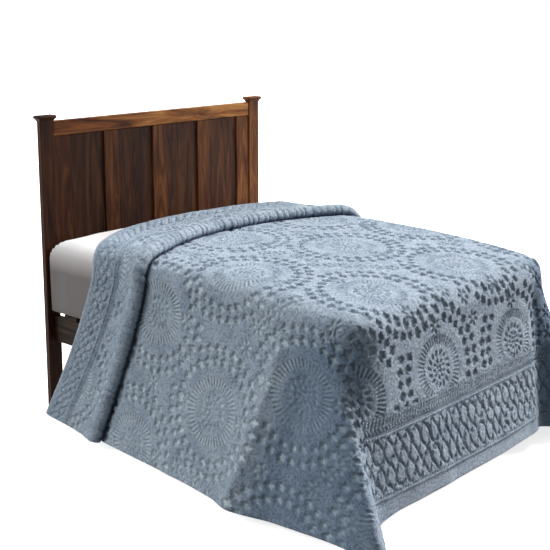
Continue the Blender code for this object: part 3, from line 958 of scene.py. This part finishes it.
def woodMaterial(name, look, grainAxis, board):
    material, tree, shader = newMaterial(name, look["roughness"])
    stretched = []
    for across, along in (grain["bandScales"], grain["poreScales"]):
        stretched.append([along if axis == grainAxis else across for axis in range(3)])
    moved = [board * amount for amount in grain["shift"]]
    bands = noiseNode(tree, objectPlace(tree, stretched[0], moved), 1.25, 5.0, 0.58, grain["wander"])
    pores = noiseNode(tree, objectPlace(tree, stretched[1]), 1.0, 4.0, 0.65, 0.3)
    colour = rampNode(tree, bands, ((0.32, look["dark"]), (0.50, look["middle"]), (0.72, look["light"])))
    streaks = rampNode(tree, pores, ((0.34, look["pore"]), (0.54, white)))
    colour = mixNode(tree, grain["pores"], colour, streaks, "MULTIPLY")
    # painted shade: the wood darkens towards the left end, standing in for the light falling off from the
    # right
    across = splitPlace(tree, objectPlace(tree, (0.65, 1, 1), (0.5, 0, 0))).outputs["X"]
    leftShade = rampNode(tree, across, ((0.0, look["leftEndShade"]), (0.85, white)))
    colour = mixNode(tree, 1.0, colour, leftShade, "MULTIPLY")
    tree.links.new(colour, shader.inputs["Base Color"])
    rough = look["roughness"]
    dull = rampNode(tree, pores, ((0.3, (rough + 0.14,) * 3), (0.7, (rough - 0.06,) * 3)))
    tree.links.new(dull, shader.inputs["Roughness"])
    shader.inputs["Specular IOR Level"].default_value = grain["specular"]
    normal = bumpNode(tree, pores, 0.30, grain["poreDepth"])
    tree.links.new(normal, shader.inputs["Normal"])
    return material


# the bedspread

def footIndex(index, levels):
    # the foot skirt's points share their rim and upright edges with the rows above
    count = levels.shape[0] - 1
    wide = levels.shape[1]
    out = np.empty(levels.shape[:2], int)
    out[0] = index[0, count:count + wide]
    out[1:, 0] = index[0, :count][::-1]
    out[1:, -1] = index[0, count + wide:]
    out[1:, 1:-1] = index.size + np.arange(count * (wide - 2)).reshape(count, wide - 2)
    return out


def footFaces(index, levels):
    return gridFaces(footIndex(index, levels))[:, ::-1]


def clothBacking(material):
    # one closed sheet with the whole Z of the cuff; the tufted faces lie on its outer side
    step = cloth["backingStep"]
    tuck, _, _ = cuffCrossings(layLines(step)[1])
    mainRows, _ = mainLayer(step, tuck)
    rows = np.concatenate((mainRows, cuffLayer(step, 0, evenly=False)))
    levels = footSkirt(step, mainRows)
    points = np.concatenate((rows.reshape(-1, 3), levels[1:, 1:-1].reshape(-1, 3)))
    index = np.arange(rows.shape[0] * rows.shape[1]).reshape(rows.shape[:2])
    faces = np.concatenate((gridFaces(index), footFaces(index, levels)))
    points = ripple(points, pointNormals(points, faces))
    normals = pointNormals(points, faces) * cloth["thickness"] / 2
    below = footIndex(index, levels)
    rim = np.concatenate((index[:0:-1, 0], [index[0, 0]], below[-1, 1:-1], index[:-1, -1], index[-1, :0:-1]))
    after = np.roll(rim, -1)
    inner = len(points)
    edge = np.stack((rim, rim + inner, after + inner, after), axis=1)
    faces = np.concatenate((faces, faces[:, ::-1] + inner, edge))
    points = np.concatenate((points + normals, points - normals))
    values = dict.fromkeys(("bare", "edge", "shade", "turned"), np.zeros(len(points)))
    values["bare"] = np.full(len(points), 0.5)
    piece = meshPiece("bedspread_cloth", points, faces, material, values)
    # laid flat, it is as wide as a row a third of the way up the bed, and as long as its middle line
    flatWidth = arcLength(rows[rows.shape[0] // 3])[-1]
    flatLength = arcLength(rows[:, rows.shape[1] // 2])[-1] + arcLength(levels[:, levels.shape[1] // 2])[-1]
    return piece, float(flatWidth), float(flatLength)


# the shade in the cuff's fold: how near the two layers are where it starts and where it is
# full, and how many rows it reaches in
foldShade = {"from": 0.033, "full": 0.026, "rows": 34}


def shadeNear(rows, others):
    # how closely the other layer of cloth faces each point: 1 where their piles touch
    others = others.reshape(-1, 3)
    tree = kdtree.KDTree(len(others))
    for number, place in enumerate(others):
        tree.insert(place, number)
    tree.balance()
    far = np.array([tree.find(point)[2] for point in rows.reshape(-1, 3)])
    return grow(far, foldShade["from"], foldShade["full"])


# painted light and shade on the design: how much of its paler ground and of its edges' painted shade shows
# on the bed's top, and how the drops differ from it
paintedLightOnDesign = {"groundOnTop": 0.10, "groundOnRight": 0.35, "edgeShadeLostOnDrops": 0.45}


def designValues(u, v, normals, keep):
    # painted light and shade: the hollows' paler ground shows in full on the left drop, less on the right
    # and little on the top, standing in for the shade in the hollows there; the edges' painted shade is
    # weaker on the drops
    ground = facing(normals, -1) + paintedLightOnDesign["groundOnRight"] * facing(normals, 1)
    least = paintedLightOnDesign["groundOnTop"]
    return {
        "bare": readOff(bare, u, v) * keep * (least + (1 - least) * ground),
        "edge": readOff(pileEdgeShade, u, v) * keep * (1 - paintedLightOnDesign["edgeShadeLostOnDrops"] * ground),
        "shade": np.zeros(len(u)),
        "turned": np.zeros(len(u)),
    }


def raisePile(points, normals, full, hems, faces):
    # pushes a face out by its pile, down to nothing at its hems
    height = cloth["thickness"] / 2 + cloth["pileHeight"] * np.clip(full, -0.3, 1.2)
    for hem in hems:
        height[hem] = 0.0
    tufted = points + normals * height[:, None]
    return tufted, pointNormals(tufted, faces)


def tuftedFaces(material):
    step = cloth["pileStep"]
    _, xs, downs = layLines(step)
    count, wide = len(downs), len(xs)
    _, fold, _ = cuffCrossings(xs)
    rows, rowV = mainLayer(step, fold + cloth["hiddenTurnIn"])
    levels = footSkirt(step, rows)
    u, v = flatOfMain(step, rows, rowV)
    footU, footV = flatOfFoot(levels)
    index = np.arange(rows.shape[0] * rows.shape[1]).reshape(rows.shape[:2])
    below = footIndex(index, levels)
    points = np.concatenate((rows.reshape(-1, 3), levels[1:, 1:-1].reshape(-1, 3)))
    allU = np.concatenate((u.ravel(), footU[1:, 1:-1].ravel()))
    allV = np.concatenate((v.ravel(), footV[1:, 1:-1].ravel()))
    half = len(rows) // 2
    parts = {
        "tufted_left_side": gridFaces(index[:, :count + 1]),
        "tufted_top_foot_end": gridFaces(index[:half + 1, count:count + wide]),
        "tufted_top_head_end": gridFaces(index[half:, count:count + wide]),
        "tufted_right_side": gridFaces(index[:, count + wide - 1:]),
        "tufted_foot": gridFaces(below)[:, ::-1],
    }
    everyFace = np.concatenate(list(parts.values()))
    normals = pointNormals(points, everyFace)
    points = ripple(points, normals)
    # the pattern dies out beside the two upright lines where side and foot skirts meet
    steps = cloth["cornerFade"]
    keep = np.ones(len(points))
    for n in range(steps):
        keep[index[n, :count]] = keep[index[n, count + wide:]] = n / steps
        keep[below[1:, n]] = keep[below[1:, -1 - n]] = n / steps
    values = designValues(allU, allV, normals, keep)
    # painted shade on parts of the drops
    values["turned"] = turnedAt(points, normals)
    near = foldShade["rows"]
    values["shade"][index[-near:].ravel()] = shadeNear(rows[-near:], cuffLayer(step, visibleFrom)[:near])
    full = 1 + (readOff(pile, allU, allV) - 1) * keep
    hems = (index[:, 0], index[:, -1], below[-1])
    tufted, finalNormals = raisePile(points, normals, full, hems, everyFace)
    return [meshPiece(name, tufted, faces, material, values, finalNormals) for name, faces in parts.items()]


def tuftedCuff(material):
    step = cloth["pileStep"]
    _, xs, downs = layLines(step)
    count, wide = len(downs), len(xs)
    _, fold, _ = cuffCrossings(xs)
    rows = cuffLayer(step, visibleFrom)
    mainRows, _ = mainLayer(step, fold + cloth["hiddenTurnIn"])
    u, v = flatOfCuff(step, rows, design["headV"])
    index = np.arange(rows.shape[0] * rows.shape[1]).reshape(rows.shape[:2])
    faces = gridFaces(index)
    points = rows.reshape(-1, 3)
    normals = pointNormals(points, faces)
    points = ripple(points, normals)
    # round the fold the stars give way to short gathers
    gathers = cloth["gathers"]
    fromCrest = v - v[:1] + gathers["crestAt"]
    near = np.exp(-(fromCrest / gathers["reach"]) ** 2).ravel()
    u, v = u.ravel(), v.ravel()
    # no two gathers are spaced or pulled in quite alike
    across = u + 0.25 * v
    spaced = across + 0.007 * np.sin(23.0 * across) + 0.005 * np.sin(61.0 * across + 1.0)
    pulled = 0.72 + 0.28 * np.sin(37.0 * across + 2.0)
    slit = np.clip(2.2 * np.cos(2 * np.pi * spaced / gathers["pitch"]) - 1.2, 0, 1) * pulled
    full = 1 + (readOff(pile, u, v) - 1) * (1 - near) - gathers["depth"] * near ** 2 * slit
    values = designValues(u, v, normals, 1 - near)
    nearest = foldShade["rows"]
    values["shade"][index[:nearest].ravel()] = shadeNear(rows[:nearest], mainRows[-nearest:])
    hems = (index[:, 0], index[:, -1], index[-1])
    tufted, finalNormals = raisePile(points, normals, full, hems, faces)
    parts = {
        "tufted_cuff_left": gridFaces(index[:, :count + 1]),
        "tufted_cuff_top": gridFaces(index[:, count:count + wide]),
        "tufted_cuff_right": gridFaces(index[:, count + wide - 1:]),
    }
    return [meshPiece(name, tufted, some, material, values, finalNormals) for name, some in parts.items()]


# the mattress in its fitted sheet

mattressSheet = {
    "step": 0.022,
    "sideBands": 9,
    "wrinkle": 0.0030,
    "creasedFromY": -0.30,      # from here to the head, where the bedspread leaves it bare
    "bottomRoll": (0.030, 0.014),   # how far in from the side and how high its lower edge turns up
}


def coveredMattress(material):
    step = mattressSheet["step"]
    half, foot, head = bed["halfWidth"], bed["footY"], bed["headY"]
    radius = bed["edgeRadius"]
    edge = [radius * (1 - math.cos(math.pi / 2 * n / 6)) for n in range(7)]
    corner = [radius + (bed["cornerRadius"] - radius) * n / 4 for n in range(1, 5)]
    inner = [half - inset for inset in edge + corner]
    middle = np.linspace(-inner[-1], inner[-1], round(2 * inner[-1] / step))[1:-1]
    xs = np.array(sorted([-x for x in inner] + list(middle) + inner))
    low = [foot + inset for inset in edge + corner]
    high = [head - inset for inset in edge + corner]
    middle = np.linspace(low[-1], high[-1], round((high[-1] - low[-1]) / step))[1:-1]
    ys = np.array(sorted(low + list(middle) + high))
    gridX, gridY = np.meshgrid(xs, ys)
    top = bedSurface(gridX, gridY, 0.0, 0.0, headRound=True)
    inset = np.minimum(np.minimum(half - np.abs(gridX), gridY - foot), head - gridY)
    under = top.copy()
    rollIn, rollUp = mattressSheet["bottomRoll"]
    under[..., 2] = bed["bottomZ"] + rollUp * np.clip(1 - inset / rollIn, 0, None) ** 2
    ny, nx = gridX.shape
    ring = ([(0, n) for n in range(nx)] + [(n, nx - 1) for n in range(1, ny)]
            + [(ny - 1, n) for n in range(nx - 2, -1, -1)] + [(n, 0) for n in range(ny - 2, 0, -1)])
    ringTop = np.array([top[at] for at in ring])
    ringUnder = np.array([under[at] for at in ring])
    bands = mattressSheet["sideBands"]
    sides = [ringTop + (ringUnder - ringTop) * n / bands for n in range(1, bands)]
    points = np.concatenate([top.reshape(-1, 3), under.reshape(-1, 3)] + sides)
    topIndex = np.arange(ny * nx).reshape(ny, nx)
    underIndex = topIndex + ny * nx
    loops = [np.array([topIndex[at] for at in ring])]
    for n in range(bands - 1):
        loops.append(2 * ny * nx + n * len(ring) + np.arange(len(ring)))
    loops.append(np.array([underIndex[at] for at in ring]))
    faces = [gridFaces(topIndex), gridFaces(underIndex)[:, ::-1]]
    for upper, lower in zip(loops, loops[1:]):
        faces.append(np.stack((upper, lower, np.roll(lower, -1), np.roll(upper, -1)), axis=1))
    faces = np.concatenate(faces)
    normals = pointNormals(points, faces)
    x, y, z = points.T
    creasedFrom = mattressSheet["creasedFromY"]
    creased = grow(y, creasedFrom, creasedFrom + 0.10) * grow(z, 0.50, 0.55)
    pull = (np.sin(31 * x + 17 * y + 6 * np.sin(5 * y)) * np.sin(23 * y + 9 * x + 1.1)
            + 0.6 * np.sin(14 * z + 40 * y + 20 * x))
    lift = mattressSheet["wrinkle"] * creased * np.clip(0.35 + 0.5 * pull, 0, 1)
    return meshPiece("mattress_in_sheet", points + normals * lift[:, None], faces, material)


# the headboard's post caps

postCap = {
    # out from the post's side, height: a cove under a thin flat top
    "profile": ((0.0006, 1.3580), (0.0030, 1.3620), (0.0052, 1.3658), (0.0068, 1.3692), (0.0105, 1.3712),
                (0.0122, 1.3735), (0.0122, 1.3795), (0.0108, 1.3828), (0.0070, 1.3848), (-0.0080, 1.3860)),
    "corner": 0.003,
    "cornerSteps": 4,
}


def roundedLoop(low, high, radius, steps):
    # points round a rectangle with rounded corners
    loop = []
    for cornerX, cornerY, start in ((high[0], low[1], -90), (high[0], high[1], 0),
                                    (low[0], high[1], 90), (low[0], low[1], 180)):
        x = cornerX - math.copysign(radius, cornerX - (low[0] + high[0]) / 2)
        y = cornerY - math.copysign(radius, cornerY - (low[1] + high[1]) / 2)
        for n in range(steps + 1):
            turn = math.radians(start + 90 * n / steps)
            loop.append((x + radius * math.cos(turn), y + radius * math.sin(turn)))
    return loop


def mouldedCap(name, post, material):
    low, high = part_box(post)
    mesh = bpy.data.meshes.new(name)
    shape = bmesh.new()
    rings = []
    for out, z in postCap["profile"]:
        corner = postCap["corner"] + max(out, 0) * 0.3
        lowOut, highOut = [at - out for at in low], [at + out for at in high]
        loop = roundedLoop(lowOut, highOut, corner, postCap["cornerSteps"])
        rings.append([shape.verts.new((x, y, z)) for x, y in loop])
    for lower, upper in zip(rings, rings[1:]):
        for n in range(len(lower)):
            after = (n + 1) % len(lower)
            shape.faces.new((lower[n], lower[after], upper[after], upper[n]))
    shape.faces.new(rings[-1])
    shape.faces.new(rings[0][::-1])
    shape.to_mesh(mesh)
    shape.free()
    mesh.shade_smooth()
    mesh.set_sharp_from_angle(angle=math.radians(50))
    mesh.materials.append(material)
    piece = bpy.data.objects.new(name, mesh)
    bpy.context.scene.collection.objects.link(piece)
    return piece


# lights, floor and camera

studio = {
    # each direction points from the bed to the light
    "key": {"towards": (0.60, -0.06, 0.80), "strength": 3.85, "softness": 24, "colour": (1.0, 0.985, 0.96)},
    "rake": {"towards": (0.89, -0.36, 0.27), "strength": 2.3, "softness": 4, "colour": (1.0, 0.95, 0.98)},
    "fill": {"towards": (-0.66, 0.54, 0.52), "strength": 1.82, "softness": 24, "colour": (0.96, 0.98, 1.0)},
    "sky": 0.46,
    "dimmer": ((-0.64, -0.74, -0.20), 0.30),  # from here less sky light comes, down to this share
    "floor": (0.93, 0.93, 0.93),
    "floorGlow": 0.72,          # keeps the bed's shadow on the floor faint
    "floorReach": 60.0,
    "floorBelow": 0.0008,       # so that the floor doesn't flicker through the legs' ends
}


def distantLight(name, spec):
    data = bpy.data.lights.new(name, "SUN")
    data.energy = spec["strength"]
    data.angle = math.radians(spec["softness"])
    data.color = spec["colour"]
    light = bpy.data.objects.new(name, data)
    x, y, z = spec["towards"]
    light.rotation_euler = (math.atan2(math.hypot(x, y), z), 0, math.atan2(y, x) + math.pi / 2)
    bpy.context.scene.collection.objects.link(light)


def setStudio():
    world = bpy.data.worlds.new("studio")
    world.use_nodes = True
    tree = world.node_tree
    sky = tree.nodes["Background"]
    sky.inputs["Strength"].default_value = studio["sky"]
    towards, share = studio["dimmer"]
    direction = tree.nodes.new("ShaderNodeTexCoord")
    dot = tree.nodes.new("ShaderNodeVectorMath")
    dot.operation = "DOT_PRODUCT"
    dot.inputs[1].default_value = towards
    tree.links.new(direction.outputs["Generated"], dot.inputs[0])
    dim = rampNode(tree, dot.outputs["Value"], ((0.0, white), (0.9, (share,) * 3)))
    tree.links.new(dim, sky.inputs["Color"])
    # the backdrop itself shows as white
    backdrop = tree.nodes.new("ShaderNodeBackground")
    backdrop.inputs["Color"].default_value = (*white, 1)
    path = tree.nodes.new("ShaderNodeLightPath")
    either = tree.nodes.new("ShaderNodeMixShader")
    tree.links.new(path.outputs["Is Camera Ray"], either.inputs[0])
    tree.links.new(sky.outputs[0], either.inputs[1])
    tree.links.new(backdrop.outputs[0], either.inputs[2])
    tree.links.new(either.outputs[0], tree.nodes["World Output"].inputs["Surface"])
    bpy.context.scene.world = world
    for name in ("key", "rake", "fill"):
        distantLight(f"{name} light", studio[name])
    material, tree, shader = newMaterial("studio floor", 0.9, studio["floor"])
    shader.inputs["Emission Color"].default_value = (*white, 1)
    shader.inputs["Emission Strength"].default_value = studio["floorGlow"]
    reach = studio["floorReach"]
    mesh = bpy.data.meshes.new("floor")
    mesh.from_pydata([(-reach, -reach, 0), (reach, -reach, 0), (reach, reach, 0), (-reach, reach, 0)],
                     [], [(0, 1, 2, 3)])
    mesh.materials.append(material)
    floor = bpy.data.objects.new("floor", mesh)
    floor.location.z = -studio["floorBelow"]
    floor.visible_diffuse = False       # no glare from below
    bpy.context.scene.collection.objects.link(floor)


camera = {
    "place": (-3.6059, -3.0808, 1.884),
    "turnRight": 47.598,        # degrees from straight along the bed
    "lookDown": 11.176,
    "lens": 72.877,
    "shiftY": -0.10,
}


def setCamera():
    data = bpy.data.cameras.new("camera")
    data.lens = camera["lens"]
    data.sensor_width = 36
    data.shift_y = camera["shiftY"]
    data.clip_end = 200
    eye = bpy.data.objects.new("camera", data)
    eye.location = camera["place"]
    eye.rotation_euler = (math.radians(90 - camera["lookDown"]), 0, math.radians(-camera["turnRight"]))
    bpy.context.scene.collection.objects.link(eye)
    bpy.context.scene.camera = eye


# putting it together

drawDesign()
pileEdgeShade = findEdgeShade()
blueChenille = chenilleMaterial("blue chenille")
backing, flatWidth, flatLength = clothBacking(blueChenille)
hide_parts("bedspread")
print("backing cloth laid")
tuftedPieces = tuftedFaces(blueChenille) + tuftedCuff(blueChenille)
for piece in [backing] + tuftedPieces:
    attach(piece, "root")
triangles = {piece.name: len(piece.data.polygons) * 2 for piece in tuftedPieces}
print("tufted faces laid, in triangles:", triangles)

mattress = coveredMattress(cottonMaterial("white sheet cotton"))
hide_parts("mattress")
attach(mattress, "root")
print("mattress covered; the bedspread is cut", round(flatWidth, 2), "by", round(flatLength, 2), "m")

timber = {
    # nodes by the start of their names: their wood, and the axis their grain runs along
    "foot_rail": (stainedPine, 0),
    "leg": (stainedPine, 2),
    "low_rail": (postWood, 0),
    "panel": (shadedPanelWood, 2),
    "post": (postWood, 2),
    "side_rail": (stainedPine, 1),
    "slat": (stainedPine, 0),
    "stile": (postWood, 2),
    "top_rail": (litHoneyWood, 0),
}
for number, (name, node) in enumerate(sorted(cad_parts.items())):
    for start, (look, axis) in timber.items():
        if name.startswith(start):
            material = woodMaterial(f"{name} wood", look, axis, number)
            for place in node.material_slots:
                place.material = material
print("timber stained")

for side, board in (("left", 44), ("right", 45)):
    capWood = woodMaterial(f"cap {side} wood", postWood, 0, board)
    cap = mouldedCap(f"moulded_cap_{side}", f"post_{side}", capWood)
    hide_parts(f"cap_{side}")
    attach(cap, "root")
print("caps fitted")

setStudio()
setCamera()
bpy.context.scene.view_settings.view_transform = "Standard"
print("studio and camera set")
